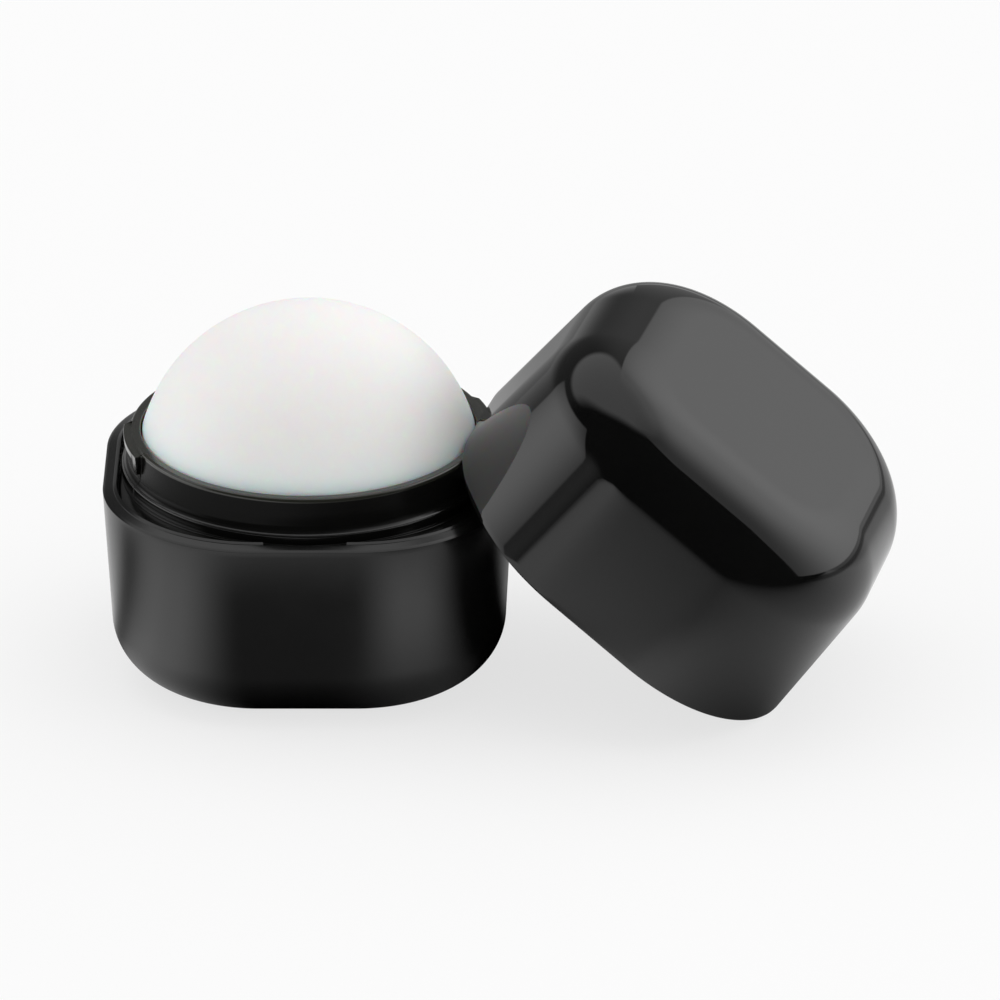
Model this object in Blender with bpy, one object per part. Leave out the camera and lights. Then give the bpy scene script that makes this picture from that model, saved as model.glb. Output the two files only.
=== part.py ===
"""A cube-shaped lip balm, open: the base with its balm dome, and the cap leaning on the base.

Lengths are in metres. The base stands at the origin on the plane z = 0, with +Z up, and the cap lies
on its +X side. Each half is one casing with one inner moulding:

- the base casing holds the neck insert, whose bore holds the balm on an anchor plate;
- the cap casing holds a liner, whose two tabs turn in under the two lugs of the neck.

Both casings share one rounded square outline at their mouths. The cap's height, the liner and the
cap's place all follow from the sizes of the neck and of the dome.
"""

import math

import bmesh
import bpy

# Outline that both casings share at their mouths
WIDTH = 0.038
CORNER_RADIUS = 0.0145
DRAFT_SHARE = 0.05
EDGE_ROUND = 0.0002

# Base casing
RIM_HEIGHT = 0.0186
BASE_WALL = 0.0013
BASE_LOWER_WALL = 0.0020
BASE_FLOOR = 0.0016
BASE_ROUND_HEIGHT = 0.0059
BASE_ROUND_DEPTH = 0.0063
NOTCH_WIDTH = 0.0075
NOTCH_DEPTH = 0.0005
NOTCH_REACH = 0.00035

# Fits between nested pieces
FIT_GAP = 0.0002
SEAT_GAP = 0.0003
BALM_GAP = 0.00015

# Neck insert: deck, flange, neck and lugs
DECK_DROP = 0.0004
DECK_THICKNESS = 0.0016
FLANGE_INSET = 0.0001
FLANGE_RISE = 0.00075
NECK_RISE = 0.0039
NECK_STEP = 0.0007
NECK_WALL = 0.0011
NECK_EDGE_ROUND = 0.0003
SLEEVE_WALL = 0.0006
SLEEVE_DEPTH = 0.0010
SHELF_REACH = 0.0009
SHELF_THICKNESS = 0.0008
SHELF_LIFT = 0.0020
LUG_REACH = 0.0005
LUG_THICKNESS = 0.0010
LUG_DROP = 0.0001
LUG_START = math.radians(177)
LUG_SWEEP = math.radians(26)
LUG_RIB_SWEEP = math.radians(3)
LUG_RIB_INSET = math.radians(0.4)
LUG_RIB_DROP = 0.0015
LUG_COUNT = 2

# Balm
DOME_RISE = 0.0116

# Anchor under the balm
ANCHOR_PLATE = 0.0012
ANCHOR_HOLE_RADIUS = 0.0020
ANCHOR_RING_RADIUS = 0.0090
ANCHOR_RING_WIDTH = 0.0020
ANCHOR_RING_THICKNESS = 0.0012
ANCHOR_RING_LIFT = 0.0040
ANCHOR_LEG_WIDTH = 0.0016
ANCHOR_LEG_COUNT = 4

# Cap casing and its liner
CAP_WALL = 0.0010
CAP_UPPER_WALL = 0.0014
CAP_TOP_WALL = 0.0012
CAP_ROUND_HEIGHT = 0.0072
CAP_ROUND_DEPTH = 0.0084
CEILING_GAP = 0.0010
DOME_CLEARANCE = 0.0010
LINER_WALL = 0.0009
SKIRT_DEPTH = 0.0036
FLANGE_CLEARANCE = 0.00025
LUG_CLEARANCE = 0.0001
TAB_SWEEP = math.radians(8)
TAB_HEIGHT = 0.0014
TAB_INSET = math.radians(5)
TAB_CLEARANCE = 0.00015

# Place of the cap beside the base
LEAN_GAP = 0.0003
CAP_TURN = math.radians(-14.4)
CAP_SHIFT = 0.0039

# Facets, and how far a cutter or a joined shape runs past its mate
CORNER_STEPS = 12
ROUND_STEPS = 7
TURN_STEPS = 72
DOME_STEPS = 14
SECTOR_STEPS = 6
OVERRUN = 0.0005
MERGE_DISTANCE = 0.000001

# Sizes that follow from those above
HALF = WIDTH / 2
RING_TOP = RIM_HEIGHT + NECK_RISE
DECK_TOP = RIM_HEIGHT - DECK_DROP
DECK_HALF = HALF - BASE_WALL - FIT_GAP
BASE_SEAT_DEPTH = DECK_DROP + DECK_THICKNESS + SEAT_GAP
FLANGE_RADIUS = DECK_HALF - FLANGE_INSET
NECK_RADIUS = FLANGE_RADIUS - NECK_STEP
BORE_RADIUS = NECK_RADIUS - NECK_WALL
SLEEVE_RADIUS = BORE_RADIUS + SLEEVE_WALL
SLEEVE_BOTTOM = DECK_TOP - DECK_THICKNESS - SLEEVE_DEPTH
SHELF_BOTTOM = SLEEVE_BOTTOM + SHELF_LIFT
SHELF_RADIUS = BORE_RADIUS - SHELF_REACH
LUG_RADIUS = NECK_RADIUS + LUG_REACH
BALM_RADIUS = BORE_RADIUS - BALM_GAP
DOME_RADIUS = (BALM_RADIUS**2 + DOME_RISE**2) / (2 * DOME_RISE)
DOME_CENTRE = RING_TOP + DOME_RISE - DOME_RADIUS
PLATE_TOP = SHELF_BOTTOM - FIT_GAP
CAP_HEIGHT = NECK_RISE + DOME_RISE + DOME_CLEARANCE + LINER_WALL + CEILING_GAP + CAP_TOP_WALL
SKIRT_START = FLANGE_RISE + FLANGE_CLEARANCE
SKIRT_END = SKIRT_START + SKIRT_DEPTH
LINER_BORE = LUG_RADIUS + LUG_CLEARANCE
LINER_DOME_CENTRE = DOME_CENTRE - RIM_HEIGHT
LINER_DOME_RADIUS = DOME_RADIUS + DOME_CLEARANCE


def material(name, colour, roughness):
    """Plain dielectric material."""
    made = bpy.data.materials.new(name)
    made.use_nodes = True
    shader = made.node_tree.nodes["Principled BSDF"]
    shader.inputs["Base Color"].default_value = (*colour, 1)
    shader.inputs["Roughness"].default_value = roughness
    shader.inputs["Metallic"].default_value = 0
    made.diffuse_color = (*colour, 1)
    return made


def object_of(name, mesh_data):
    """Object made from a bmesh with its faces turned outwards."""
    bmesh.ops.recalc_face_normals(mesh_data, faces=mesh_data.faces[:])
    mesh = bpy.data.meshes.new(name)
    mesh_data.to_mesh(mesh)
    mesh_data.free()
    mesh.shade_smooth()
    mesh.set_sharp_from_angle(angle=math.radians(30))
    made = bpy.data.objects.new(name, mesh)
    bpy.context.scene.collection.objects.link(made)
    return made


def rounded_square(inset, height):
    """Ring of points round the shared outline, moved in by inset."""
    half = HALF - inset
    radius = CORNER_RADIUS - inset
    centre = half - radius
    ring = []
    for quarter in range(4):
        for step in range(CORNER_STEPS + 1):
            angle = (quarter + step / CORNER_STEPS) * math.pi / 2
            turn = (quarter + 0.5) * math.pi / 2
            x = math.copysign(centre, math.cos(turn)) + radius * math.cos(angle)
            y = math.copysign(centre, math.sin(turn)) + radius * math.sin(angle)
            ring.append((x, y, height))
    return ring


def lofted(name, rings):
    """Closed skin through rings of equally many points, with the first and the last ring filled."""
    made = bmesh.new()
    loops = [[made.verts.new(point) for point in ring] for ring in rings]
    count = len(loops[0])
    for low, high in zip(loops, loops[1:]):
        for i in range(count):
            j = (i + 1) % count
            made.faces.new((low[i], low[j], high[j], high[i]))
    made.faces.new(loops[0])
    made.faces.new(loops[-1])
    return object_of(name, made)


def turned(name, profile):
    """Closed solid turned about Z from (radius, height) points, which run as one closed loop."""
    made = bmesh.new()
    points = [made.verts.new((radius, 0, height)) for radius, height in profile]
    edges = []
    for first, second in zip(points, points[1:] + points[:1]):
        on_axis = first.co.x == 0 and second.co.x == 0
        if not on_axis:
            edges.append(made.edges.new((first, second)))
    bmesh.ops.spin(
        made,
        geom=points + edges,
        axis=(0, 0, 1),
        cent=(0, 0, 0),
        angle=2 * math.pi,
        steps=TURN_STEPS,
        use_merge=True,
    )
    bmesh.ops.remove_doubles(made, verts=made.verts[:], dist=MERGE_DISTANCE)
    return object_of(name, made)


def sector(name, inner, outer, low, high, start, sweep):
    """Closed block between two radii, two heights and two angles about Z."""
    rings = []
    for step in range(SECTOR_STEPS + 1):
        angle = start + sweep * step / SECTOR_STEPS
        across = math.cos(angle), math.sin(angle)
        corners = (inner, low), (outer, low), (outer, high), (inner, high)
        rings.append([(r * across[0], r * across[1], z) for r, z in corners])
    return lofted(name, rings)


def block(name, size, centre, turn):
    """Box of the given size about a centre that is turned about Z."""
    made = bmesh.new()
    bmesh.ops.create_cube(made, size=1)
    bmesh.ops.scale(made, vec=size, verts=made.verts[:])
    bmesh.ops.translate(made, vec=centre, verts=made.verts[:])
    made_object = object_of(name, made)
    made_object.rotation_euler.z = turn
    return made_object


def combine(target, tool, operation):
    """Boolean of target with a tool, which stays as a hidden helper."""
    modifier = target.modifiers.new(tool.name, "BOOLEAN")
    modifier.operation = operation
    modifier.solver = "EXACT"
    modifier.object = tool
    tool.hide_render = True
    tool.display_type = "WIRE"


def casing(name, height, wall, seat_depth, seat_share, upper_wall, end_wall, round_size, place):
    """Cup with the shared outline at its mouth.

    The skin runs from the middle of the closed end over the outside to the mouth and back inside.
    Each step is (inset from the outline, depth from the mouth). The inside is wide as far as
    seat_depth, where a ledge carries the inner moulding. place gives the height of a depth.
    """
    round_height, round_depth = round_size
    start = height - round_height
    drift = DRAFT_SHARE * start
    quarter = [math.pi / 2 * step / ROUND_STEPS for step in range(ROUND_STEPS + 1)]
    steps = []
    for angle in reversed(quarter):
        inset = drift + round_depth * (1 - math.cos(angle))
        steps.append((inset, start + round_height * math.sin(angle)))
    steps += [
        (DRAFT_SHARE * EDGE_ROUND, EDGE_ROUND),
        (EDGE_ROUND, 0),
        (wall - EDGE_ROUND, 0),
        (wall, EDGE_ROUND),
        (wall + seat_share * seat_depth, seat_depth),
        (upper_wall + DRAFT_SHARE * seat_depth, seat_depth),
    ]
    for angle in quarter:
        inset = upper_wall + drift + round_depth * (1 - math.cos(angle))
        steps.append((inset, start + (round_height - end_wall) * math.sin(angle)))
    return lofted(name, [rounded_square(inset, place(depth)) for inset, depth in steps])


def sphere_arc(radius, centre, low):
    """(radius, height) points down a sphere from its top to the height low."""
    end = math.acos((low - centre) / radius)
    arc = []
    for step in range(DOME_STEPS + 1):
        angle = end * step / DOME_STEPS
        arc.append((radius * math.sin(angle), centre + radius * math.cos(angle)))
    return arc


def base_shell():
    """Outer casing of the base, with the shallow notch in the inner edge of its rim at the front."""
    shell = casing(
        "base_shell",
        RIM_HEIGHT,
        BASE_WALL,
        BASE_SEAT_DEPTH,
        0,
        BASE_LOWER_WALL,
        BASE_FLOOR,
        (BASE_ROUND_HEIGHT, BASE_ROUND_DEPTH),
        lambda depth: RIM_HEIGHT - depth,
    )
    notch_back = HALF - BASE_WALL - OVERRUN
    notch_front = HALF - BASE_WALL + NOTCH_REACH
    notch = block(
        "notch_cutter",
        (NOTCH_WIDTH, notch_front - notch_back, NOTCH_DEPTH + OVERRUN),
        (0, -(notch_front + notch_back) / 2, RIM_HEIGHT + (OVERRUN - NOTCH_DEPTH) / 2),
        0,
    )
    combine(shell, notch, "DIFFERENCE")
    return shell


def neck_insert():
    """Inner moulding of the base: square deck, round flange, neck with its bore, and two lugs."""
    deck_inset = BASE_WALL + FIT_GAP
    deck_bottom = DECK_TOP - DECK_THICKNESS
    deck = lofted("neck_insert", [rounded_square(deck_inset, z) for z in (deck_bottom, DECK_TOP)])
    flange_top = RIM_HEIGHT + FLANGE_RISE
    body = turned(
        "neck_body",
        [
            (0, RING_TOP),
            (NECK_RADIUS - NECK_EDGE_ROUND, RING_TOP),
            (NECK_RADIUS, RING_TOP - NECK_EDGE_ROUND),
            (NECK_RADIUS, flange_top),
            (FLANGE_RADIUS - EDGE_ROUND, flange_top),
            (FLANGE_RADIUS, flange_top - EDGE_ROUND),
            (FLANGE_RADIUS, DECK_TOP),
            (NECK_RADIUS, DECK_TOP - DECK_THICKNESS / 2),
            (SLEEVE_RADIUS, DECK_TOP - DECK_THICKNESS / 2),
            (SLEEVE_RADIUS, SLEEVE_BOTTOM),
            (0, SLEEVE_BOTTOM),
        ],
    )
    combine(deck, body, "UNION")
    shelf_top = SHELF_BOTTOM + SHELF_THICKNESS
    bore = turned(
        "neck_bore_cutter",
        [
            (0, RING_TOP + OVERRUN),
            (BORE_RADIUS, RING_TOP + OVERRUN),
            (BORE_RADIUS, shelf_top),
            (SHELF_RADIUS, shelf_top),
            (SHELF_RADIUS, SHELF_BOTTOM),
            (BORE_RADIUS, SHELF_BOTTOM),
            (BORE_RADIUS, SLEEVE_BOTTOM - OVERRUN),
            (0, SLEEVE_BOTTOM - OVERRUN),
        ],
    )
    combine(deck, bore, "DIFFERENCE")
    root = NECK_RADIUS - NECK_WALL / 2
    top = RING_TOP - LUG_DROP
    fin_bottom = top - LUG_THICKNESS
    for index in range(LUG_COUNT):
        start = LUG_START + index * 2 * math.pi / LUG_COUNT
        fin = sector(f"lug_{index + 1}", root, LUG_RADIUS, fin_bottom, top, start, LUG_SWEEP)
        combine(deck, fin, "UNION")
        rib = sector(
            f"lug_rib_{index + 1}",
            root - LUG_DROP,
            LUG_RADIUS - LUG_DROP,
            fin_bottom - LUG_RIB_DROP,
            fin_bottom + LUG_THICKNESS / 2,
            start + LUG_SWEEP - LUG_RIB_SWEEP - LUG_RIB_INSET,
            LUG_RIB_SWEEP,
        )
        combine(deck, rib, "UNION")
    return deck


def anchor_shape(name, clearance):
    """Ring on legs that stands up into the balm, grown by clearance to cut its seat in the balm."""
    ring_bottom = PLATE_TOP + ANCHOR_RING_LIFT
    inner = ANCHOR_RING_RADIUS - ANCHOR_RING_WIDTH / 2 - clearance
    outer = ANCHOR_RING_RADIUS + ANCHOR_RING_WIDTH / 2 + clearance
    top = ring_bottom + ANCHOR_RING_THICKNESS + clearance
    bottom = ring_bottom - clearance
    ring = turned(name, [(outer, top), (outer, bottom), (inner, bottom), (inner, top)])
    leg_bottom = PLATE_TOP - ANCHOR_PLATE / 2
    leg_top = ring_bottom + ANCHOR_RING_THICKNESS / 2
    side = ANCHOR_LEG_WIDTH + 2 * clearance
    for index in range(ANCHOR_LEG_COUNT):
        leg = block(
            f"{name}_leg_{index + 1}",
            (side, side, leg_top - leg_bottom),
            (ANCHOR_RING_RADIUS, 0, (leg_top + leg_bottom) / 2),
            index * 2 * math.pi / ANCHOR_LEG_COUNT,
        )
        combine(ring, leg, "UNION")
    return ring


def balm_anchor():
    """Plate that closes the bore from below, with the ring on legs that the balm is cast round."""
    radius = BORE_RADIUS - FIT_GAP
    bottom = PLATE_TOP - ANCHOR_PLATE
    plate = turned(
        "balm_anchor",
        [
            (radius, PLATE_TOP),
            (radius, bottom),
            (ANCHOR_HOLE_RADIUS, bottom),
            (ANCHOR_HOLE_RADIUS, PLATE_TOP),
        ],
    )
    combine(plate, anchor_shape("anchor_ring", 0), "UNION")
    return plate


def lip_balm():
    """Balm cast in one piece: a dome above the neck, a plug in its bore and a foot on the anchor."""
    shelf_top = SHELF_BOTTOM + SHELF_THICKNESS + BALM_GAP
    foot_radius = SHELF_RADIUS - BALM_GAP
    foot_bottom = PLATE_TOP + BALM_GAP
    profile = sphere_arc(DOME_RADIUS, DOME_CENTRE, RING_TOP)
    profile += [
        (BALM_RADIUS, shelf_top),
        (foot_radius, shelf_top),
        (foot_radius, foot_bottom),
        (0, foot_bottom),
    ]
    balm = turned("lip_balm", profile)
    combine(balm, anchor_shape("anchor_seat_cutter", BALM_GAP), "DIFFERENCE")
    return balm


def cap_shell():
    """Outer casing of the cap, built mouth down on the plane of its own rim."""
    return casing(
        "cap_shell",
        CAP_HEIGHT,
        CAP_WALL,
        SKIRT_END + SEAT_GAP,
        DRAFT_SHARE,
        CAP_UPPER_WALL,
        CAP_TOP_WALL,
        (CAP_ROUND_HEIGHT, CAP_ROUND_DEPTH),
        lambda depth: depth,
    )


def cap_liner():
    """Inner moulding of the cap: a square skirt, a bore over the lugs, two tabs and a hollow dome."""
    rings = []
    for height in (SKIRT_START, SKIRT_END):
        rings.append(rounded_square(CAP_WALL + DRAFT_SHARE * height + FIT_GAP, height))
    skirt = lofted("cap_liner", rings)
    outer = LINER_DOME_RADIUS + LINER_WALL
    dome_foot = SKIRT_END - OVERRUN
    dome = sphere_arc(outer, LINER_DOME_CENTRE, dome_foot) + [(0, dome_foot)]
    combine(skirt, turned("liner_dome", dome), "UNION")
    ledge = NECK_RISE + FLANGE_CLEARANCE
    hollow = sphere_arc(LINER_DOME_RADIUS, LINER_DOME_CENTRE, ledge)
    hollow += [(LINER_BORE, ledge), (LINER_BORE, SKIRT_START - OVERRUN), (0, SKIRT_START - OVERRUN)]
    combine(skirt, turned("liner_hollow_cutter", hollow), "DIFFERENCE")
    tab_top = NECK_RISE - LUG_DROP - LUG_THICKNESS - LUG_CLEARANCE
    tab_inner = NECK_RADIUS + TAB_CLEARANCE
    tab_outer = LINER_BORE + FIT_GAP / 2
    for index in range(LUG_COUNT):
        start = LUG_START + TAB_INSET + index * 2 * math.pi / LUG_COUNT
        low = tab_top - TAB_HEIGHT
        tab = sector(f"tab_{index + 1}", tab_inner, tab_outer, low, tab_top, start, TAB_SWEEP)
        combine(skirt, tab, "UNION")
    return skirt


def cap_axis():
    """Empty at the middle of the cap's rim, with its +Z along the way that the cap pulls off.

    One straight side of the rim lies on the ground. The opposite side rests over the neck's ring,
    which sets the tilt, with its outer edge against the dome, which sets the distance.
    """
    tilt = math.asin((RING_TOP + LEAN_GAP) / (WIDTH - CAP_WALL))
    edge_height = WIDTH * math.sin(tilt)
    dome_there = math.sqrt(DOME_RADIUS**2 - (edge_height - DOME_CENTRE) ** 2)
    away = dome_there + LEAN_GAP + HALF * math.cos(tilt)
    axis = bpy.data.objects.new("cap_axis", None)
    bpy.context.scene.collection.objects.link(axis)
    axis.location = (
        away * math.cos(CAP_TURN) - CAP_SHIFT * math.sin(CAP_TURN),
        away * math.sin(CAP_TURN) + CAP_SHIFT * math.cos(CAP_TURN),
        HALF * math.sin(tilt),
    )
    axis.rotation_euler = (0, tilt, CAP_TURN)
    axis.empty_display_size = HALF
    return axis


def carry(piece, axis):
    """Parents a piece, and the hidden helpers that shape it, to the cap's axis."""
    piece.parent = axis
    for modifier in piece.modifiers:
        modifier.object.parent = axis


def main():
    for old in list(bpy.data.objects):
        bpy.data.objects.remove(old)
    casing_black = material("casing_black", (0.012, 0.012, 0.012), 0.12)
    insert_black = material("insert_black", (0.014, 0.014, 0.013), 0.32)
    balm_white = material("balm_white", (0.86, 0.86, 0.85), 0.55)
    base_pieces = {
        casing_black: [base_shell()],
        insert_black: [neck_insert(), balm_anchor()],
        balm_white: [lip_balm()],
    }
    cap_pieces = {casing_black: [cap_shell()], insert_black: [cap_liner()]}
    axis = cap_axis()
    for pieces in (base_pieces, cap_pieces):
        for finish, made in pieces.items():
            for piece in made:
                piece.data.materials.append(finish)
                if pieces is cap_pieces:
                    carry(piece, axis)


main()
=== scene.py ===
"""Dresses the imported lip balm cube: fine moulded surfaces, plastic and wax finishes, a small studio.

Lengths are in metres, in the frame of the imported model: the base stands on z = 0 about the Z axis, and
the cap leans on its +X side. The outlines, walls, bores and the dome repeat the sizes of the model. The
small forms at the mouth of the base are finer than there, by up to half a millimetre: the rim with its
lip and notch, the deck, the ring's crest, the neck's taper and cove, and the lugs with their ribs.
"""

import math
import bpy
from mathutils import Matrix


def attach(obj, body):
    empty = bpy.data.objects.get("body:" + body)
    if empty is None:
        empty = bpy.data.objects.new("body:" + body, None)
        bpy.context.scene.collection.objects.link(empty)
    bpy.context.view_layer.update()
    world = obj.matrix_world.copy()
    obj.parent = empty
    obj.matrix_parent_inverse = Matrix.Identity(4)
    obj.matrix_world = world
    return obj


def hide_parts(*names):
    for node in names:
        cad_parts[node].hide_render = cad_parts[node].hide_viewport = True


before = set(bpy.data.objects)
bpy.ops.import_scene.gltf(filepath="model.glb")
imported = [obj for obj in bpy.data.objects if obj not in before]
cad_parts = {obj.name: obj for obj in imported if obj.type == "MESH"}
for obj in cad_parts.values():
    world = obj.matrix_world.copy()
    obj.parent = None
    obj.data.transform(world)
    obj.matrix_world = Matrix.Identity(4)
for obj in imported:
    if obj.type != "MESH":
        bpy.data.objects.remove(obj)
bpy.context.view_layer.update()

import bpy
import numpy as np
from mathutils import Matrix

MM = 0.001

# Outline that both casings share at their mouths, and the roundings of edges
HALF = 19.0 * MM
CORNER = 14.5 * MM
DRAFT = 0.05
EDGE = 0.2 * MM
SOFT_EDGE = 0.12 * MM
FINE_EDGE = 0.05 * MM

# Base casing. A round is given by its height and its depth
RIM = 18.6 * MM
BASE_WALL = 1.3 * MM
BASE_LOWER_WALL = 2.0 * MM
BASE_FLOOR = 1.6 * MM
BASE_ROUND = (5.9 * MM, 6.3 * MM)
BASE_SEAT = 2.3 * MM

# Edge of a mouth: the drop of its outer edge below the mouth's plane, and its heights above that
# plane at the top of its slope, at the foot of its lip and at the lip's inner end
BASE_EDGE = (0.12 * MM, 0.224 * MM, 0.264 * MM, 0.44 * MM)
FLAT_EDGE = (0, 0, 0, 0)

# The slope ends at the lip's reach from the inner wall, and the lip's foot is its step further in.
# A flat edge has its spare corner at a share of the way to there
LIP_REACH = 0.35 * MM
LIP_STEP = 0.03 * MM
FLAT_SHARE = 0.6

# Notch in the front of the base's rim, with the depths of its floor at the outer and the inner end
NOTCH_HALF = 3.75 * MM
NOTCH_FLOOR = (0.15 * MM, 1.0 * MM)

# Neck insert. The cove at the neck's foot is given by (across, height, cut) corners
DECK_HALF = 17.5 * MM
DECK_TOP = 18.5 * MM
DECK_BOTTOM = 16.6 * MM
FLANGE_RADIUS = 17.4 * MM
FLANGE_TOP = 19.35 * MM
COVE_FOOT = (17.2 * MM, 19.44 * MM, 0.1 * MM)
COVE_MIDDLE = (16.77 * MM, 19.85 * MM, 0.24 * MM)
COVE_TOP = (16.62 * MM, 20.9 * MM, 0.4 * MM)
NECK_RADIUS = 16.7 * MM
NECK_MIDDLE_RADIUS = 16.578 * MM
NECK_TOP_RADIUS = 16.55 * MM
RING_TOP = 22.5 * MM
RING_CREST = 22.7 * MM
RING_EDGE = 0.3 * MM
CREST_POINTS = (16.08 * MM, 15.98 * MM)
BORE_RADIUS = 15.6 * MM
SLEEVE_RADIUS = 16.2 * MM
SLEEVE_BOTTOM = 15.6 * MM
SHELF_RADIUS = 14.7 * MM
SHELF_BOTTOM = 17.6 * MM
SHELF_TOP = 18.4 * MM

# Lugs of the neck, with a rib under the end of each
LUG_RADIUS = 17.2 * MM
LUG_TOP = 22.4 * MM
LUG_BOTTOM = 21.8 * MM
LUG_ROOT_RADIUS = 16.5 * MM
LUG_CREST_RADIUS = 16.4 * MM
LUG_START = math.radians(177)
LUG_SWEEP = math.radians(26)
RIB_RADIUS = 17.0 * MM
RIB_FOOT = 20.5 * MM
RIB_START = math.radians(199.6)
RIB_SWEEP = math.radians(3)

# Balm
DOME_RISE = 11.6 * MM
DOME_BASE_RADIUS = 15.45 * MM
BALM_FOOT = 17.55 * MM
FOOT_RADIUS = 14.55 * MM
FOOT_TOP = 18.55 * MM
ANCHOR_SLOT = (7.85 * MM, 10.15 * MM)
ANCHOR_SLOT_TOP = 22.75 * MM

# Cap casing and liner, measured from the plane of the cap's rim
CAP_HEIGHT = 19.6 * MM
CAP_WALL = 1.0 * MM
CAP_UPPER_WALL = 1.4 * MM
CAP_TOP_WALL = 1.2 * MM
CAP_ROUND = (7.2 * MM, 8.4 * MM)
CAP_SEAT = 4.9 * MM
SKIRT_START = 1.0 * MM
SKIRT_END = 4.6 * MM
SKIRT_GAP = 0.2 * MM
LINER_WALL = 0.9 * MM
LINER_BORE = 17.3 * MM
LINER_LEDGE = 4.15 * MM
DOME_CLEARANCE = 1.0 * MM
TAB_RADIUS = 16.85 * MM
TAB_BOTTOM = 1.3 * MM
TAB_TOP = 2.7 * MM
TAB_START = math.radians(182)
TAB_SWEEP = math.radians(8)

# Place of the cap beside the base
LEAN_GAP = 0.3 * MM
CAP_TURN = math.radians(-14.4)
CAP_SHIFT = 3.9 * MM

# Facets: steps along each form, shares of a straight side and insets on a flat end that get points
ARC_STEPS = 44
SIDE_STEPS = 12
ROUND_STEPS = 36
FILLET_STEPS = 5
TURN_STEPS = 360
DOME_STEPS = 60
SIDE_SHARES = (0.04, 0.5, 0.96)
END_INSETS = (3.0 * MM, 1.0 * MM, 0.3 * MM, 0.1 * MM, 0.03 * MM)

# Close points at the notch's ends, within a share of half a side to each hand, and at the ends of
# lugs, ribs and tabs, within an angle in degrees to each hand, which holds the width of their step
NOTCH_END_SHARE = 0.02
NOTCH_END_POINTS = 5
TURN_END = 0.4
TURN_END_POINTS = 7
TURN_END_WIDTH = 0.7

# Colours, from the darker to the paler one where a surface varies
CASING_TONES = ((0.0030, 0.0031, 0.0031), (0.0048, 0.0048, 0.0046))
INSERT_TONES = ((0.003, 0.003, 0.0027), (0.005, 0.005, 0.0047))
# Painted bounce light from the balm, a faint olive on the tops of the ring and lugs
PAINTED_BOUNCE_TONE = (0.018, 0.0185, 0.014)
WAX_TONES = ((0.895, 0.895, 0.885), (0.93, 0.93, 0.92))
TABLE_TONES = ((0.88, 0.88, 0.88), (0.90, 0.90, 0.90))
BLACK = (0, 0, 0)

# Finishes: refraction of plastic and wax, and where the gloss on the outside of the lugs starts
PLASTIC_IOR = 1.5
WAX_IOR = 1.45
GLOSS_BAND = (16.95 * MM, 17.1 * MM)

# Sockets of a Mix node that hold its two colours and its result
MIX_FIRST, MIX_SECOND, MIX_RESULT = 6, 7, 2

# Table, and the gap under the base that keeps its underside clear of it
TABLE_HALF = 3
TABLE_GAP = 0.02 * MM
TABLE_WHITENED = 0.72

# Painted pools of light and shade near the base in what gloss sees of the table's emission: level,
# middle and half widths of the even part and of the whole in degrees from the front, and the
# distances in mm where it starts and is full; nearer in, the step paints shade by the base
PAINTED_LIGHT_POOLS = (
    (1.4, -56, 5, 40, 12, 30),
    (1.2, 36, 3, 33, 14, 42),
    (0.14, -10, 20, 60, 17, 27),
    (0.28, 128, 14, 32, 18, 28),
)
# Painted pool of light at the back left of the table: its level, and its middle and half widths in
# degrees
PAINTED_BACK_LEVEL = 0.8
PAINTED_BACK_POOL = (-140, 30, 58)

# Soft light on the pieces and the table: its least level, the most that the tent adds, and two side
# lights, each by its middle and half widths in degrees, which fade between two heights of the sky
SOFT_LEAST = 0.33
SOFT_MOST = 1.2
SIDE_LEVEL = 0.5
SIDE_POOLS = ((50, 15, 50), (-75, 15, 50))
SIDE_FADE = (0.95, 0.5)

# Camera, with its lens and sensor in mm
CAMERA_PLACE = (17.78 * MM, -681.0 * MM, 332.8 * MM)
CAMERA_TILT = math.radians(25.02)
CAMERA_CLIP = (0.05, 20)
LENS = 290
SENSOR = 36

# Sizes that follow from those above
DOME_RADIUS = (DOME_BASE_RADIUS**2 + DOME_RISE**2) / (2 * DOME_RISE)
DOME_CENTRE = RING_TOP + DOME_RISE - DOME_RADIUS


def linked(name, data):
    """Object at the origin that holds the data, in the scene."""
    made = bpy.data.objects.new(name, data)
    bpy.context.scene.collection.objects.link(made)
    return made


def faced(name, points, quads, fans):
    """Object from quads and triangles, shaded smooth, with its faces turned outwards.

    The volume is the sum over the faces of a . (b x c) for their triangles. Where it comes out
    negative, the order of every face is reversed.
    """
    triangles = np.vstack([quads[:, [0, 1, 2]], quads[:, [0, 2, 3]], fans])
    a, b, c = (points[triangles[:, k]] for k in range(3))
    if np.einsum("ij,ij->i", a, np.cross(b, c)).sum() < 0:
        quads, fans = quads[:, ::-1], fans[:, ::-1]
    mesh = bpy.data.meshes.new(name)
    mesh.from_pydata(points.tolist(), [], quads.tolist() + fans.tolist())
    mesh.update()
    mesh.shade_smooth()
    return linked(name, mesh)


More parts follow.
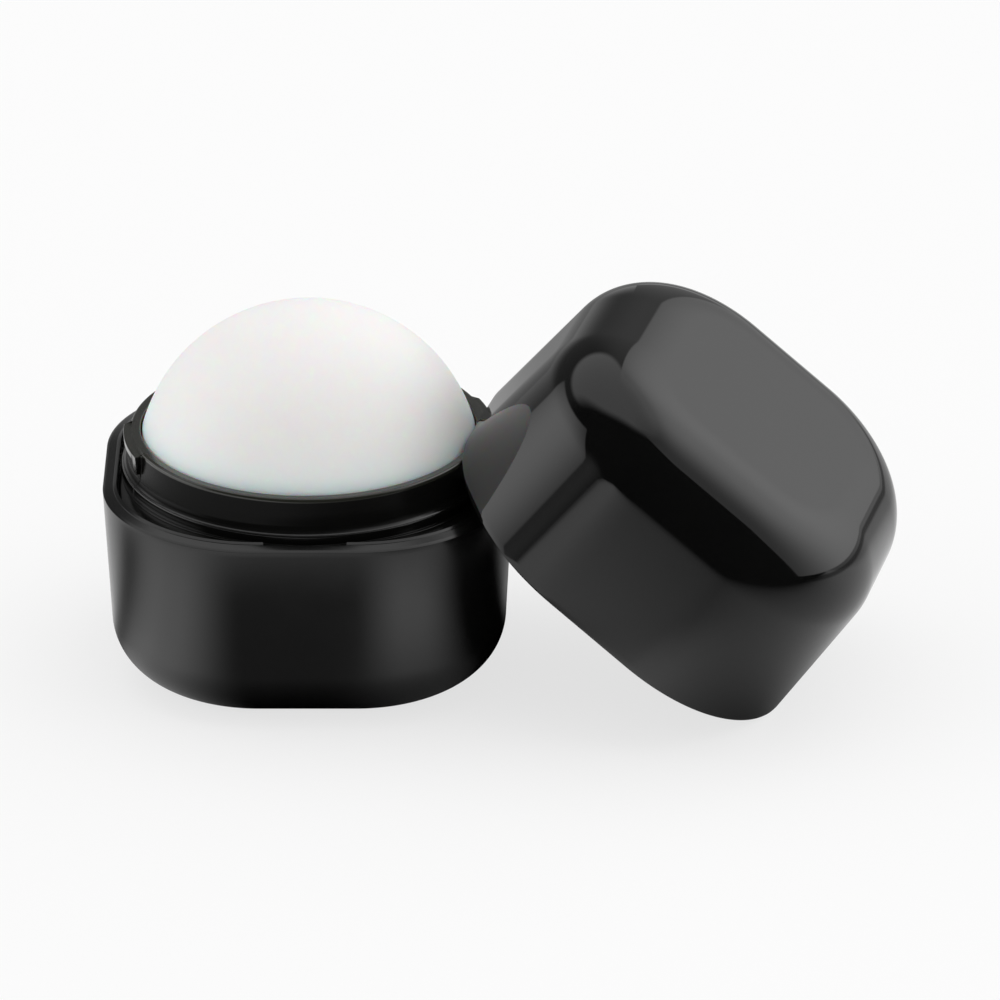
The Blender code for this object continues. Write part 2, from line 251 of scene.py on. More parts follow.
def skin(name, grid, poles, place=Matrix.Identity(4)):
    """Closed surface over a grid of points whose rows run round the piece.

    Each quad joins point (row, column) to (row, column + 1), (row + 1, column + 1) and (row + 1,
    column), and the last column joins the first. With poles, a fan to the middle of the first and of
    the last row closes the ends. Without, the last row joins the first.
    """
    rows, columns = grid.shape[:2]
    points = grid.reshape(-1, 3)
    index = np.arange(rows * columns).reshape(rows, columns)
    beside = np.roll(index, -1, axis=1)
    fans = np.empty((0, 3), int)
    if poles:
        quads = np.stack([index[:-1], beside[:-1], beside[1:], index[1:]], axis=-1)
        middle = np.full(columns, len(points))
        fans = np.vstack(
            [
                np.column_stack([middle, beside[0], index[0]]),
                np.column_stack([middle + 1, index[-1], beside[-1]]),
            ]
        )
        points = np.vstack([points, grid[0].mean(axis=0), grid[-1].mean(axis=0)])
    else:
        below, beside_below = np.roll(index, -1, axis=0), np.roll(beside, -1, axis=0)
        quads = np.stack([index, beside, beside_below, below], axis=-1)
    matrix = np.array(place)
    points = points @ matrix[:3, :3].T + matrix[:3, 3]
    return faced(name, points, quads.reshape(-1, 4), fans)


def section(corners, closed):
    """Profile through (across, height, cut, squareness) corners, each rounded over its cut.

    A corner C whose two sides are cut at the points S and E becomes the parabola (1 - t)^2 S +
    2 t (1 - t) C + t^2 E, and the side up to the next corner gets points in its middle and close to
    its ends. A corner without a bend gives points along its line, so profiles with equally many
    corners have equally many points. An open profile starts and ends on its bare end corners.
    """
    corners = np.array(corners, float)
    place, cut = corners[:, [0, 1, 3]], corners[:, 2:3]
    ahead = np.roll(place, -1, axis=0) - place
    length = np.linalg.norm(ahead[:, :2], axis=1, keepdims=True)
    back, back_length = -np.roll(ahead, 1, axis=0), np.roll(length, 1, axis=0)
    start, end = place + back * cut / back_length, place + ahead * cut / length
    t = np.linspace(0, 1, FILLET_STEPS + 1)[None, :, None]
    bend = (1 - t) ** 2 * start[:, None] + 2 * t * (1 - t) * place[:, None] + t**2 * end[:, None]
    share = np.array(SIDE_SHARES)[None, :, None]
    side = (1 - share) * end[:, None] + share * np.roll(start, -1, axis=0)[:, None]
    rows = np.concatenate([bend, side], axis=1)
    if closed:
        return rows.reshape(-1, 3)
    return np.vstack([place[:1], side[0], rows[1:-1].reshape(-1, 3), place[-1:]])


def square_spine():
    """(spine points, outward directions) of the outline that both casings share.

    A point of the outline is its spine point plus (corner radius - inset) times its direction. On a
    corner the spine stands still and the direction turns; on a side the direction stands still and
    the spine runs along it, with closer points where the notch of the base ends.
    """
    reach = HALF - CORNER
    notch_end = NOTCH_HALF / reach
    even = np.linspace(-1, 1, SIDE_STEPS + 1)[1:-1]
    close = notch_end + np.linspace(-NOTCH_END_SHARE, NOTCH_END_SHARE, NOTCH_END_POINTS)
    far = np.abs(np.abs(even) - notch_end) > 2 * NOTCH_END_SHARE
    along = np.sort(np.concatenate([even[far], close, -close]))[:, None]
    spine, direction = [], []
    for quarter in range(4):
        turn = (quarter + np.linspace(0, 1, ARC_STEPS + 1)) * math.pi / 2
        arc = np.column_stack([np.cos(turn), np.sin(turn)])
        diagonal = np.sign(arc[ARC_STEPS // 2])
        ahead = arc[-1:]
        sideways = ahead @ np.array([[0, 1], [-1, 0]])
        spine += [np.repeat(diagonal[None], len(arc), axis=0), ahead + sideways * along]
        direction += [arc, np.repeat(ahead, len(along), axis=0)]
    return np.vstack(spine) * reach, np.vstack(direction)


def wall_round(height, wall, end_wall, size):
    """(inset, depth) rows from the drafted wall up to the closed end, a quarter of an ellipse.

    inset = start + depth of the round * (cos a0 - cos a), depth = start + height of the round *
    (sin a - sin a0). At the angle a0 the ellipse has the slope of the draft, so the wall runs into
    it without a break.
    """
    tall, deep = size
    first = math.atan(DRAFT * tall / deep)
    angle = np.linspace(first, math.pi / 2, ROUND_STEPS + 1)
    start = height - tall * (1 - math.sin(first))
    inset = wall + DRAFT * start + deep * (math.cos(first) - np.cos(angle))
    depth = start + (tall - end_wall) * (np.sin(angle) - math.sin(first))
    return np.column_stack([inset, depth])


def casing(name, sizes, walls, seat_line, mouth_edge, notch, place):
    """Cup with the shared outline at its mouth, from rows of (inset, depth below the mouth's plane).

    sizes are its height, the thickness of its closed end and the size of its round, walls the wall
    at the mouth and past the seat, and seat_line the seat's depth and the inner wall's draft down to
    it. The rows run from the middle of the closed end over the outside to the mouth and back inside.
    The mouth has an outer facet, a slope that rises inwards, and past a small step a steeper lip;
    where it is flat, these lie in its plane. With a notch, the front's rows are plain + in_notch *
    (notched - plain): in_notch is 1 between the notch's ends and 0 outside them, and the notched
    profile drops at the slope's top to a floor that falls inwards.
    """
    height, end_wall, size = sizes
    wall, upper_wall = walls
    seat, inner_draft = seat_line
    drop, slope, foot, lip = mouth_edge
    outside = wall_round(height, 0, 0, size)[::-1]
    inside = wall_round(height, upper_wall, end_wall, size)
    insets = np.array(END_INSETS)[:, None]
    outer_flat = np.hstack([outside[0, 0] + insets, np.full_like(insets, height)])
    inner_flat = np.hstack([inside[-1, 0] + insets[::-1], np.full_like(insets, height - end_wall)])
    step = wall - LIP_REACH
    edge, facet = (FINE_EDGE / 3, EDGE) if lip else (EDGE, FLAT_SHARE * step)
    inner_ends = [(step + LIP_STEP, -foot, -lip)]
    if notch:
        inner_ends.append((step, *notch))
    profiles = []
    for inner, start, end in inner_ends:
        corners = [
            (*outside[-1], 0, 0),
            (0, drop, edge, 0),
            (facet, 0, EDGE / 2, 0),
            (step, -slope, FINE_EDGE / 4, 0),
            (inner, start, FINE_EDGE / 4, 0),
            (wall, end, 2 * FINE_EDGE, 0),
            (wall + inner_draft * seat, seat, FINE_EDGE, 0),
            (upper_wall + DRAFT * seat, seat, FINE_EDGE, 0),
            (*inside[0], 0, 0),
        ]
        mouth = section(corners, False)[1:-1, :2]
        profiles.append(np.vstack([outer_flat, outside, mouth, inside, inner_flat]))
    plain, notched = profiles[0], profiles[-1]
    spine, direction = square_spine()
    ease = np.clip((NOTCH_HALF - np.abs(spine[:, 0])) / FINE_EDGE + 0.5, 0, 1)
    in_notch = ease * (direction[:, 1] < 0)
    rows = plain[:, None] + in_notch[None, :, None] * (notched - plain)[:, None]
    across = spine + (CORNER - rows[..., :1]) * direction
    return skin(name, np.concatenate([across, rows[..., 1:]], axis=-1), True, place)


def around(windows):
    """Angles round a turned piece: even steps, and close ones where its windows start and end."""
    even = np.linspace(0, 2 * math.pi, TURN_STEPS, endpoint=False)
    close = np.radians(np.linspace(-TURN_END, TURN_END, TURN_END_POINTS))
    ends = np.array([edge for start, sweep in windows for edge in (start, start + sweep)], float)
    dense = (ends[:, None] + close).ravel() % (2 * math.pi)
    off = np.abs((even[:, None] - dense + math.pi) % (2 * math.pi) - math.pi)
    gap = off.min(axis=1, initial=math.pi)
    return np.sort(np.concatenate([even[gap > np.radians(TURN_END / 2)], dense]))


def window(angle, start, sweep):
    """1 between the two ends and 0 outside them, with an eased step s^2 (3 - 2 s) at each."""
    middle = start + sweep / 2
    off = np.abs((angle - middle + math.pi) % (2 * math.pi) - math.pi)
    s = np.clip((sweep / 2 - off) / np.radians(TURN_END_WIDTH) + 0.5, 0, 1)
    return s**2 * (3 - 2 * s)


def turned(name, angle, plain, changes, poles, place=Matrix.Identity(4)):
    """Surface turned about Z from profile rows of (across, height, squareness).

    rows = plain + the sum over the changes of share of the angle * (its profile - the profile that it
    changes). The radius is across where squareness is 0. Where it is 1, it is the distance to the
    outline whose half width is across: across / the larger of |cos|, |sin| on a side, and c (|cos| +
    |sin|) + root(r^2 - c^2 (|cos| - |sin|)^2) on a corner of radius r about (c, c).
    """
    rows = np.repeat(plain[:, None], len(angle), axis=1)
    for share, changed, origin in changes:
        rows = rows + share[None, :, None] * (changed - origin)[:, None]
    across, height, squareness = rows[..., 0], rows[..., 1], rows[..., 2]
    cos, sin = np.abs(np.cos(angle)), np.abs(np.sin(angle))
    centre = HALF - CORNER
    radius = np.maximum(across - centre, 0)
    side = across / np.maximum(cos, sin)
    bend = centre * (cos + sin) + np.sqrt(np.maximum(radius**2 - (centre * (cos - sin)) ** 2, 0))
    on_side = side * np.minimum(cos, sin) < centre
    reach = across + squareness * (np.where(on_side, side, bend) - across)
    grid = np.stack([reach * np.cos(angle), reach * np.sin(angle), height], axis=-1)
    return skin(name, grid, poles, place)


def neck_insert():
    """Deck, flange, neck with its bore, and two lugs with their end ribs, as one turned surface.

    Three profiles share their foot and their bore: the plain neck, whose crest has two points more on
    its flat so that its corners are as many as theirs, and those through a lug and through a rib.
    """
    foot = [
        (DECK_HALF, DECK_BOTTOM, 2 * FINE_EDGE, 1),
        (DECK_HALF, DECK_TOP, EDGE, 1),
        (FLANGE_RADIUS, DECK_TOP, FINE_EDGE / 2, 0),
        (FLANGE_RADIUS, FLANGE_TOP, SOFT_EDGE, 0),
        (*COVE_FOOT, 0),
        (*COVE_MIDDLE, 0),
    ]
    bore = [
        (BORE_RADIUS, RING_CREST, SOFT_EDGE, 0),
        (BORE_RADIUS, SHELF_TOP, FINE_EDGE, 0),
        (SHELF_RADIUS, SHELF_TOP, FINE_EDGE, 0),
        (SHELF_RADIUS, SHELF_BOTTOM, FINE_EDGE, 0),
        (BORE_RADIUS, SHELF_BOTTOM, FINE_EDGE, 0),
        (BORE_RADIUS, SLEEVE_BOTTOM, FINE_EDGE, 0),
        (SLEEVE_RADIUS, SLEEVE_BOTTOM, FINE_EDGE, 0),
        (SLEEVE_RADIUS, DECK_BOTTOM, FINE_EDGE, 0),
    ]
    neck = [
        (*COVE_TOP, 0),
        (NECK_MIDDLE_RADIUS, LUG_BOTTOM, EDGE, 0),
        (NECK_TOP_RADIUS, RING_CREST, RING_EDGE, 0),
        (CREST_POINTS[0], RING_CREST, FINE_EDGE, 0),
        (CREST_POINTS[1], RING_CREST, FINE_EDGE / 2, 0),
    ]
    lug_top = [
        (LUG_RADIUS, LUG_TOP, SOFT_EDGE, 0),
        (LUG_ROOT_RADIUS, LUG_TOP, FINE_EDGE / 2, 0),
        (LUG_CREST_RADIUS, RING_CREST, FINE_EDGE / 2, 0),
    ]
    under_lug = [(NECK_RADIUS, LUG_BOTTOM, FINE_EDGE, 0), (LUG_RADIUS, LUG_BOTTOM, FINE_EDGE, 0)]
    under_rib = [(NECK_RADIUS, RIB_FOOT, FINE_EDGE, 0), (RIB_RADIUS, RIB_FOOT, FINE_EDGE, 0)]
    plain, lug, rib = (
        section(foot + part + bore, True) for part in (neck, under_lug + lug_top, under_rib + lug_top)
    )
    starts = [(LUG_START + half, RIB_START + half) for half in (0, math.pi)]
    windows = [pair for lug_at, rib_at in starts for pair in ((lug_at, LUG_SWEEP), (rib_at, RIB_SWEEP))]
    angle = around(windows)
    changes = []
    for lug_at, rib_at in starts:
        changes.append((window(angle, lug_at, LUG_SWEEP), lug, plain))
        changes.append((window(angle, rib_at, RIB_SWEEP), rib, lug))
    return turned("neck_ring", angle, plain, changes, False)


def dome_rows(radius, centre, low):
    """(across, height, squareness) rows down a sphere: radius * sin a, centre + radius * cos a."""
    angle = np.linspace(0, math.acos((low - centre) / radius), DOME_STEPS + 1)[1:]
    rows = [radius * np.sin(angle), centre + radius * np.cos(angle), np.zeros_like(angle)]
    return np.column_stack(rows)


def lip_balm():
    """Balm: a dome with its edge on the ring, a plug in the bore and a foot cast round the anchor."""
    dome = dome_rows(DOME_RADIUS, DOME_CENTRE, RING_TOP)
    inner, outer = ANCHOR_SLOT
    under = [
        (*dome[-2, :2], 0, 0),
        (DOME_BASE_RADIUS, RING_TOP, FINE_EDGE, 0),
        (DOME_BASE_RADIUS, FOOT_TOP, FINE_EDGE, 0),
        (FOOT_RADIUS, FOOT_TOP, FINE_EDGE, 0),
        (FOOT_RADIUS, BALM_FOOT, FINE_EDGE, 0),
        (outer, BALM_FOOT, FINE_EDGE, 0),
        (outer, ANCHOR_SLOT_TOP, FINE_EDGE, 0),
        (inner, ANCHOR_SLOT_TOP, FINE_EDGE, 0),
        (inner, BALM_FOOT, FINE_EDGE, 0),
        (inner / 2, BALM_FOOT, 0, 0),
    ]
    rows = np.vstack([dome[:-2], section(under, False)])
    return turned("balm_dome", around([]), rows, [], True)


def cap_liner(place):
    """Liner of the cap: a hollow dome over a square skirt, whose bore has two tabs under the lugs.

    The plain profile has the tab's corners on the bore's line, the outer two a fine edge further off,
    so that none falls on another.
    """
    inner_radius, centre = DOME_RADIUS + DOME_CLEARANCE, DOME_CENTRE - RIM
    skirt_half = [HALF - CAP_WALL - DRAFT * height - SKIRT_GAP for height in (SKIRT_END, SKIRT_START)]
    outer = dome_rows(inner_radius + LINER_WALL, centre, SKIRT_END)
    hollow = dome_rows(inner_radius, centre, LINER_LEDGE)[::-1]
    foot = [
        (*outer[-2, :2], 0, 0),
        (*outer[-1, :2], FINE_EDGE, 0),
        (skirt_half[0], SKIRT_END, FINE_EDGE, 1),
        (skirt_half[1], SKIRT_START, 2 * FINE_EDGE, 1),
        (LINER_BORE, SKIRT_START, FINE_EDGE, 0),
    ]
    head = [
        (LINER_BORE, LINER_LEDGE, FINE_EDGE, 0),
        (*hollow[0, :2], FINE_EDGE, 0),
        (*hollow[1, :2], 0, 0),
    ]
    profiles = []
    for radius, apart in ((LINER_BORE, FINE_EDGE), (TAB_RADIUS, 0)):
        steps = [
            (LINER_BORE, TAB_BOTTOM - apart),
            (radius, TAB_BOTTOM),
            (radius, TAB_TOP),
            (LINER_BORE, TAB_TOP + apart),
        ]
        bore = [(*step, FINE_EDGE / 3, 0) for step in steps]
        profiles.append(np.vstack([outer[:-2], section(foot + bore + head, False), hollow[2:]]))
    windows = [(TAB_START + half, TAB_SWEEP) for half in (0, math.pi)]
    angle = around(windows)
    plain, tab = profiles
    changes = [(window(angle, start, sweep), tab, plain) for start, sweep in windows]
    return turned("cap_inner", angle, plain, changes, True, place)


def cap_place():
    """Matrix that puts the cap's own frame beside the base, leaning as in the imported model.

    The sine of the tilt is (ring's top + gap) / (width - wall). At the height of the cap's upper edge
    the dome's surface is root(radius^2 - (height - centre)^2) from its axis, and the cap stands off it
    by the gap.
    """
    tilt = math.asin((RING_TOP + LEAN_GAP) / (2 * HALF - CAP_WALL))
    edge_height = 2 * HALF * math.sin(tilt)
    dome_there = math.sqrt(DOME_RADIUS**2 - (edge_height - DOME_CENTRE) ** 2)
    away = dome_there + LEAN_GAP + HALF * math.cos(tilt)
    beside = Matrix.Translation((away, CAP_SHIFT, HALF * math.sin(tilt)))
    return Matrix.Rotation(CAP_TURN, 4, "Z") @ beside @ Matrix.Rotation(tilt, 4, "Y")


class Signal:
    """Number that changes over a surface, held by a socket; + - * between signals add Math nodes."""

    def __init__(self, shading, socket):
        self.shading, self.socket = shading, socket

    def __add__(self, other):
        return self.shading.worked("ADD", self, other)

    def __sub__(self, other):
        return self.shading.worked("SUBTRACT", self, other)

    def __rsub__(self, other):
        return self.shading.worked("SUBTRACT", other, self)

    def __mul__(self, other):
        return self.shading.worked("MULTIPLY", self, other)

    __radd__, __rmul__ = __add__, __mul__


class Shading:
    """Node tree whose nodes come from one method, with numbers and signals worked out in Python."""

    def __init__(self, tree):
        self.tree = tree

    def put(self, socket, value):
        """Links a signal to a socket, or sets its plain value."""
        if isinstance(value, Signal):
            self.tree.links.new(value.socket, socket)
        else:
            socket.default_value = value

    def node(self, kind, settings, values, output=0):
        """Adds a node of a kind, with its settings first, then its sockets' values or links."""
        made = self.tree.nodes.new("ShaderNode" + kind)
        for name, value in settings.items():
            if name == "stops":
                for stop, (position, level) in zip(made.color_ramp.elements, value):
                    stop.position, stop.color = position, (level, level, level, 1)
            else:
                setattr(made, name, value)
        for name, value in values.items():
            self.put(made.inputs[name], value)
        return Signal(self, made.outputs[output])

    def worked(self, operation, *values):
        """Result of a Math node on its values."""
        return self.node("Math", {"operation": operation}, dict(enumerate(values)))

    def largest(self, signal, least):
        """The signal where it is above the least value, and that value elsewhere."""
        return self.worked("MAXIMUM", signal, least)

    def split(self, vector, axes="XYZ"):
        """The parts of a vector along the named axes."""
        return [self.node("SeparateXYZ", {}, {0: vector}, axis) for axis in axes]

    def across(self, x, y):
        """Distance from the Z axis, the root of x^2 + y^2."""
        return self.worked("SQRT", x * x + y * y)

    def turn(self, x, y):
        """Angle round the Z axis in degrees, 0 at the front, which is -Y, and positive to the right."""
        return math.degrees(1) * self.worked("ARCTAN2", x, -1 * y)

    def off(self, turn, middle):
        """Angle from the middle, in degrees from -180 to 180."""
        return self.worked("WRAP", turn - middle, 180, -180)

    def ease(self, signal, low, high):
        """Eased step from 0 at low to 1 at high, of which either may be the larger one."""
        values = {"Value": signal, "From Min": low, "From Max": high}
        return self.node("MapRange", {"interpolation_type": "SMOOTHSTEP"}, values)

    def pool(self, turn, middle, flat, reach):
        """1 where an angle is within flat of the middle, 0 beyond reach, eased in between."""
        return self.ease(self.worked("ABSOLUTE", self.off(turn, middle)), reach, flat)

    def ray(self, kind):
        """1 for rays of a kind, such as Camera or Glossy, and 0 for others."""
        return self.node("LightPath", {}, {}, f"Is {kind} Ray")

    def mirror_rays(self):
        """1 for the rays by which gloss and glass show what stands round them."""
        return self.ray("Glossy") + self.ray("Transmission")


class Finish(Shading):
    """Node material on object coordinates, whose shader's sockets take numbers or signals."""

    def __init__(self, name):
        self.material = bpy.data.materials.new(name)
        self.material.use_nodes = True
        super().__init__(self.material.node_tree)
        self.shader = self.tree.nodes["Principled BSDF"]
        self.place = self.node("TexCoord", {}, {}, "Object")

    def place_in_mm(self, axes="XYZ"):
        """The surface's point along the named axes, in mm."""
        return [part * (1 / MM) for part in self.split(self.place, axes)]

    def noise(self, size, detail=2, rough=0.5, stretch=(1, 1, 1)):
        """Noise from 0 to 1 whose blots are about size across, longer where stretch is below 1."""
        place = self.node("Mapping", {}, {"Vector": self.place, "Scale": stretch})
        values = {"Vector": place, "Scale": 1 / size, "Detail": detail, "Roughness": rough}
        return self.node("TexNoise", {"noise_dimensions": "3D"}, values, "Fac")

    def between(self, share, first, second):
        """Colour that goes from the first to the second with the share; each may be a signal."""
        first, second = (
            colour if isinstance(colour, Signal) else (*colour, 1) for colour in (first, second)
        )
        values = {"Factor": share, MIX_FIRST: first, MIX_SECOND: second}
        return self.node("Mix", {"data_type": "RGBA"}, values, MIX_RESULT)

    def ramp(self, signal, low, high):
        """0 below low, 1 above high, even in between."""
        stops = ((low, 0), (high, 1))
        return self.node("ValToRGB", {"stops": stops}, {"Fac": signal})

    def bump(self, height, distance):
        """Normal of a surface that rises by height * distance."""
        return self.node("Bump", {}, {"Height": height, "Strength": 1, "Distance": distance})

    def shade(self, values):
        """Gives the shader's sockets their values or signals."""
        for name, value in values.items():
            self.put(self.shader.inputs[name], value)
        return self.material


def gloss_black(name, gloss, haze):
    """Polished black plastic: faint mould flow in its colour, handling haze, and slow ripples.

    Its roughness is gloss + haze * (smudge + half of the dust).
    """
    made = Finish(name)
    flow = made.noise(9 * MM, detail=3, rough=0.55, stretch=(1, 1, 0.45))
    smudge = made.ramp(made.noise(6 * MM, detail=4, rough=0.6), 0.45, 0.7)
    dust = made.ramp(made.noise(0.25 * MM), 0.68, 0.74)
    ripple = made.noise(4 * MM, detail=1, rough=0.4)
    return made.shade(
        {
            "Base Color": made.between(flow, *CASING_TONES),
            "Roughness": gloss + haze * (smudge + 0.5 * dust),
            "Normal": made.bump(ripple, 0.002 * MM),
            "IOR": PLASTIC_IOR,
        }
    )


def satin_black(name, burnish_and_bounce):
    """Black plastic from a fine-grained mould, dull, with a grain that softens its highlights.

    Where the second argument is 1, a clear gloss covers the tops of the ring and lugs and what stands
    out past the neck, and the tops are a faint olive, painted bounce light from the white balm.
    """
    made = Finish(name)
    grain = made.noise(0.12 * MM, detail=3, rough=0.6)
    flow = made.noise(5 * MM, detail=3)
    x, y, z = made.place_in_mm()
    # top also tints the tops with the painted olive bounce light of the balm, besides their gloss
    top = burnish_and_bounce * made.ease(z, (LUG_TOP - EDGE / 2) / MM, LUG_TOP / MM)
    outer = made.ease(made.across(x, y), *(radius / MM for radius in GLOSS_BAND))
    return made.shade(
        {
            "Base Color": made.between(top, made.between(flow, *INSERT_TONES), PAINTED_BOUNCE_TONE),
            "Roughness": 0.18 + 0.05 * flow + 0.04 * grain,
            "Specular IOR Level": 0.075,
            "Normal": made.bump(grain, 0.004 * MM),
            "Coat Weight": burnish_and_bounce * made.largest(outer, top),
            "Coat Roughness": 0.16,
            "IOR": PLASTIC_IOR,
        }
    )


def balm_wax():
    """Poured white wax: nearly even colour, faint cooling swirls and a fine skin on a soft body."""
    made = Finish("balm_wax")
    swirl = made.noise(7 * MM, detail=4, rough=0.55, stretch=(1, 1, 2.2))
    skin_grain = made.noise(0.5 * MM, detail=3, rough=0.6)
    pits = made.ramp(made.noise(0.22 * MM, detail=1), 0.70, 0.78)
    return made.shade(
        {
            "Base Color": made.between(swirl, *WAX_TONES),
            "Roughness": 0.46 + 0.12 * skin_grain,
            "Normal": made.bump(swirl + 0.12 * skin_grain - 0.2 * pits, 0.03 * MM),
            "Subsurface Weight": 0.8,
            "Subsurface Scale": 4 * MM,
            "IOR": WAX_IOR,
        }
    )


def table_white():
    """Pale table top with a faint mottle: whitened for the camera, with painted light for gloss.

    The camera sees it whitened by a share, so shadows on it stay, but light. Gloss sees only its
    emission, painted with pools of light and shade and a dark front. turn is the angle round the base
    from the front, and far the distance from the base's axis in mm. Within 5 cm the painted light is
    the sum of a wide pool at the back left and the near pools, each level * its pool in turn * its step
    in far, which paints shade close to the base. Further out it is the product of 1.06, less 0.2 on the
    right, and the shares that the painted shade at the back, the painted dark front and a painted dim
    ring leave. The front fades along a line that slants away to the left, and once more from 20 cm to
    1 m, and the ring lies on the right, 23 to 33 cm away.
    """
    made = Finish("table_white")
    mottle = made.noise(60 * MM, detail=3)
    x, y = made.place_in_mm("XY")
    turn, far = made.turn(x, y), made.across(x, y)
    # What gloss sees of the table is its emission, painted light and shade: near holds the painted pools
    # of light and the painted shade close to the base
    near = PAINTED_BACK_LEVEL * made.pool(turn, *PAINTED_BACK_POOL)
    for level, middle, flat, reach, start, full in PAINTED_LIGHT_POOLS:
        near = near + level * made.pool(turn, middle, flat, reach) * made.ease(far, start, full)
    on_right = made.ease(x, 0, 60)
    # Painted shade at the back, a painted dark front of the table, and a painted dim ring on the right
    painted_shade_behind = 0.4 * made.ease(y, 20, 60) + 0.3 * made.ease(y, 60, 105) * made.ease(x, 60, 20)
    slanted = made.ease(y + 1.27 * made.largest(30 - x, 0), -95, 0)
    front = slanted * (0.4 + 0.6 * made.ease(y, -1000, -200))
    painted_dim_ring = 0.6 * made.ease(far, 170, 230) * made.ease(far, 480, 330) * on_right
    even = (1.06 - 0.2 * on_right) * (1 - painted_shade_behind) * front * (1 - painted_dim_ring)
    painted_mirror_light = near + made.ease(far, 42, 58) * (even - near)
    seen, gloss = TABLE_WHITENED * made.ray("Camera"), made.mirror_rays()
    made.material.cycles.emission_sampling = "NONE"
    return made.shade(
        {
            "Base Color": made.between(seen + gloss, made.between(mottle, *TABLE_TONES), BLACK),
            "Roughness": 0.9,
            "Specular IOR Level": 0.0,
            "Emission Color": seen + gloss * painted_mirror_light,
            "Emission Strength": 1.0,
        }
    )


def table_top():
    """Flat square just below the base, facing up."""
    corners = [(-TABLE_HALF, -TABLE_HALF), (TABLE_HALF, -TABLE_HALF)]
    corners += [(-x, -y) for x, y in corners]
    mesh = bpy.data.meshes.new("table")
    mesh.from_pydata([(*corner, -TABLE_GAP) for corner in corners], [], [(0, 1, 2, 3)])
    return linked("table", mesh)


def camera():
    """Long lens 750 mm away, 25 degrees above the table, straight along +Y."""
    made = linked("camera", bpy.data.cameras.new("camera"))
    made.data.sensor_width, made.data.lens = SENSOR, LENS
    made.data.clip_start, made.data.clip_end = CAMERA_CLIP
    made.location = CAMERA_PLACE
    made.rotation_euler = (math.pi / 2 - CAMERA_TILT, 0, 0)
    bpy.context.scene.camera = made


def lightbox(shade, turn, rise):
    """Brightness of the surrounding by direction: a white tent that is open towards the camera.

    turn is the angle from the front, positive to the right, and rise the angle above the table, both
    in degrees. Parts with eased edges cover each other in this order, level + share * (part - level):

    - the ceiling, at 1;
    - the back wall, at 0.12, and 0.18 more beyond 30 degrees left of its middle at -135, where off is
      0. Its top edge is 61 - (22 - 0.0045 off^2) high there, and 61 further round;
    - the black opening, where (wide^2 + high^2) is small: wide is the angle from -15 over 83, and
      high the rise above 45 over 31;
    - the right panel, from 63 to 162 degrees, whose near edge leans by 0.29 of the rise: 0.54, and up
      to 1.5 more in its middle;
    - a glow of 0.32 low down, left of -46 degrees, which is added;
    - the left panel, from -128 to -64 degrees, 30 degrees high at its far and 38 at its near end:
      2.3 - 0.035 of the rise, fading towards both ends.
    """
    off = shade.off(turn, -135)
    edge = 61 - shade.largest(22 - 0.0045 * off * off, 0)
    wall = shade.ease(edge - rise, -3, 3)
    level = 1 - (0.88 - 0.18 * shade.ease(off, -30, -60)) * wall
    wide = (turn + 15) * (1 / 83)
    high = shade.largest(rise - 45, 0) * (1 / 31)
    level = level * shade.ease(wide * wide + high * high, 0.72, 1.36)
    leaning = turn + 0.29 * shade.largest(rise, 0)
    right = shade.ease(leaning, 62.2, 63.8) * shade.ease(turn, 162.8, 161.2) * shade.ease(rise, 84, 50)
    swell = shade.ease(turn, 58, 108) * shade.ease(turn - 0.6 * rise + 12, 172, 112)
    swell = swell * shade.ease(rise, -60, 35) * shade.ease(rise, 92, 40)
    level = level + right * (0.54 + 1.5 * swell - level)
    level = level + 0.32 * shade.ease(turn, -46, -60) * shade.ease(rise, 20, 0)
    left = shade.ease(turn, -129, -127) * shade.ease(turn + 0.12 * rise, -63.6, -65.4)
    left = left * shade.ease(rise - 0.127 * turn, 47.5, 44.5)
    glow = shade.ease(turn, -150, -98) * shade.ease(turn, -45, -95) * (2.3 - 0.035 * rise)
    return level + left * (glow - level)


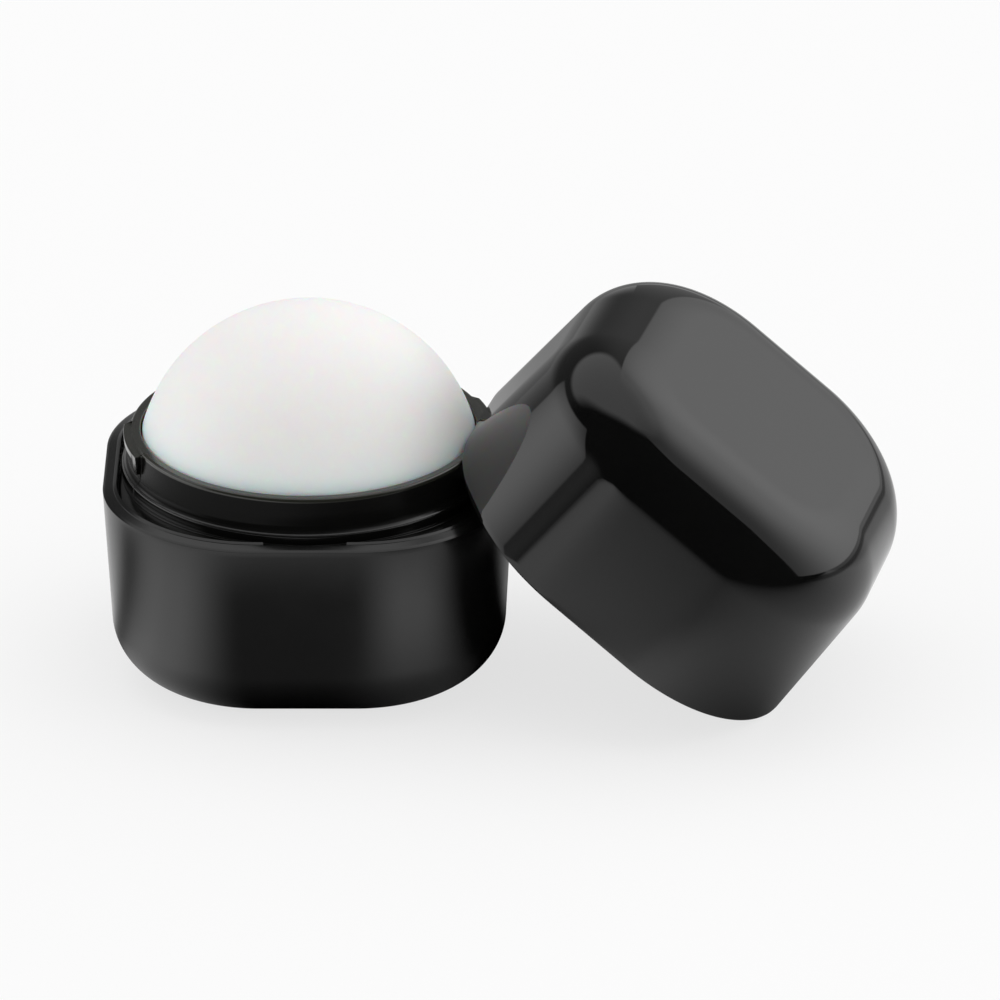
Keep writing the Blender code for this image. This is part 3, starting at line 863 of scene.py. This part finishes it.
def studio():
    """White table and the light tent; the camera sees plain white in place of the tent.

    Gloss and glass show the tent as it is. Its light on the pieces and the table is softer, as if a
    pale room stood round it: the least level, plus the tent's up to a limit, plus two side lights
    that fade towards the top.
    """
    table = table_top()
    table.data.materials.append(table_white())
    world = bpy.data.worlds.new("surrounding")
    world.use_nodes = True
    shade = Shading(world.node_tree)
    x, y, z = shade.split(shade.node("TexCoord", {}, {}, "Generated"))
    turn, rise = shade.turn(x, y), math.degrees(1) * shade.worked("ARCSINE", z)
    tent = lightbox(shade, turn, rise)
    right, left = (shade.pool(turn, *pool) for pool in SIDE_POOLS)
    sides = SIDE_LEVEL * (right + left) * shade.ease(z, *SIDE_FADE)
    soft = SOFT_LEAST + shade.worked("MINIMUM", tent, SOFT_MOST) + sides
    strength = soft + shade.mirror_rays() * (tent - soft) + shade.ray("Camera") * (1 - soft)
    background = world.node_tree.nodes["Background"]
    shade.put(background.inputs["Strength"], strength)
    background.inputs["Color"].default_value = (1, 1, 1, 1)
    bpy.context.scene.world = world


def dress():
    """Builds the pieces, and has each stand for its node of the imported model."""
    place = cap_place()
    upright = Matrix.Translation((0, 0, RIM)) @ Matrix.Scale(-1, 4, (0, 0, 1))
    base_sizes, cap_sizes = (RIM, BASE_FLOOR, BASE_ROUND), (CAP_HEIGHT, CAP_TOP_WALL, CAP_ROUND)
    base_walls, cap_walls = (BASE_WALL, BASE_LOWER_WALL), (CAP_WALL, CAP_UPPER_WALL)
    base_mouth, cap_mouth = ((BASE_SEAT, 0), BASE_EDGE, NOTCH_FLOOR), ((CAP_SEAT, DRAFT), FLAT_EDGE, ())
    base = casing("base_casing", base_sizes, base_walls, *base_mouth, upright)
    cap = casing("cap_casing", cap_sizes, cap_walls, *cap_mouth, place)
    base_black = gloss_black("base_black", gloss=0.16, haze=0.05)
    cap_black = gloss_black("cap_black", gloss=0.035, haze=0.03)
    neck_satin, satin = satin_black("neck_satin", 1), satin_black("insert_satin", 0)
    pieces = [
        (base, "base", "base_shell", "casing_black", base_black),
        (neck_insert(), "base", "neck_insert", "insert_black", neck_satin),
        (lip_balm(), "base", "lip_balm", "balm_white", balm_wax()),
        (cap, "cap", "cap_shell", "casing_black", cap_black),
        (cap_liner(place), "cap", "cap_liner", "insert_black", satin),
    ]
    for piece, body, node, slot, finish in pieces:
        piece.data.materials.append(finish)
        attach(piece, body)
        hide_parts(node)
    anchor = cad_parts["balm_anchor"]
    anchor.data.materials.clear()
    anchor.data.materials.append(satin)


dress()
camera()
studio()
bpy.context.scene.view_settings.view_transform = "Standard"
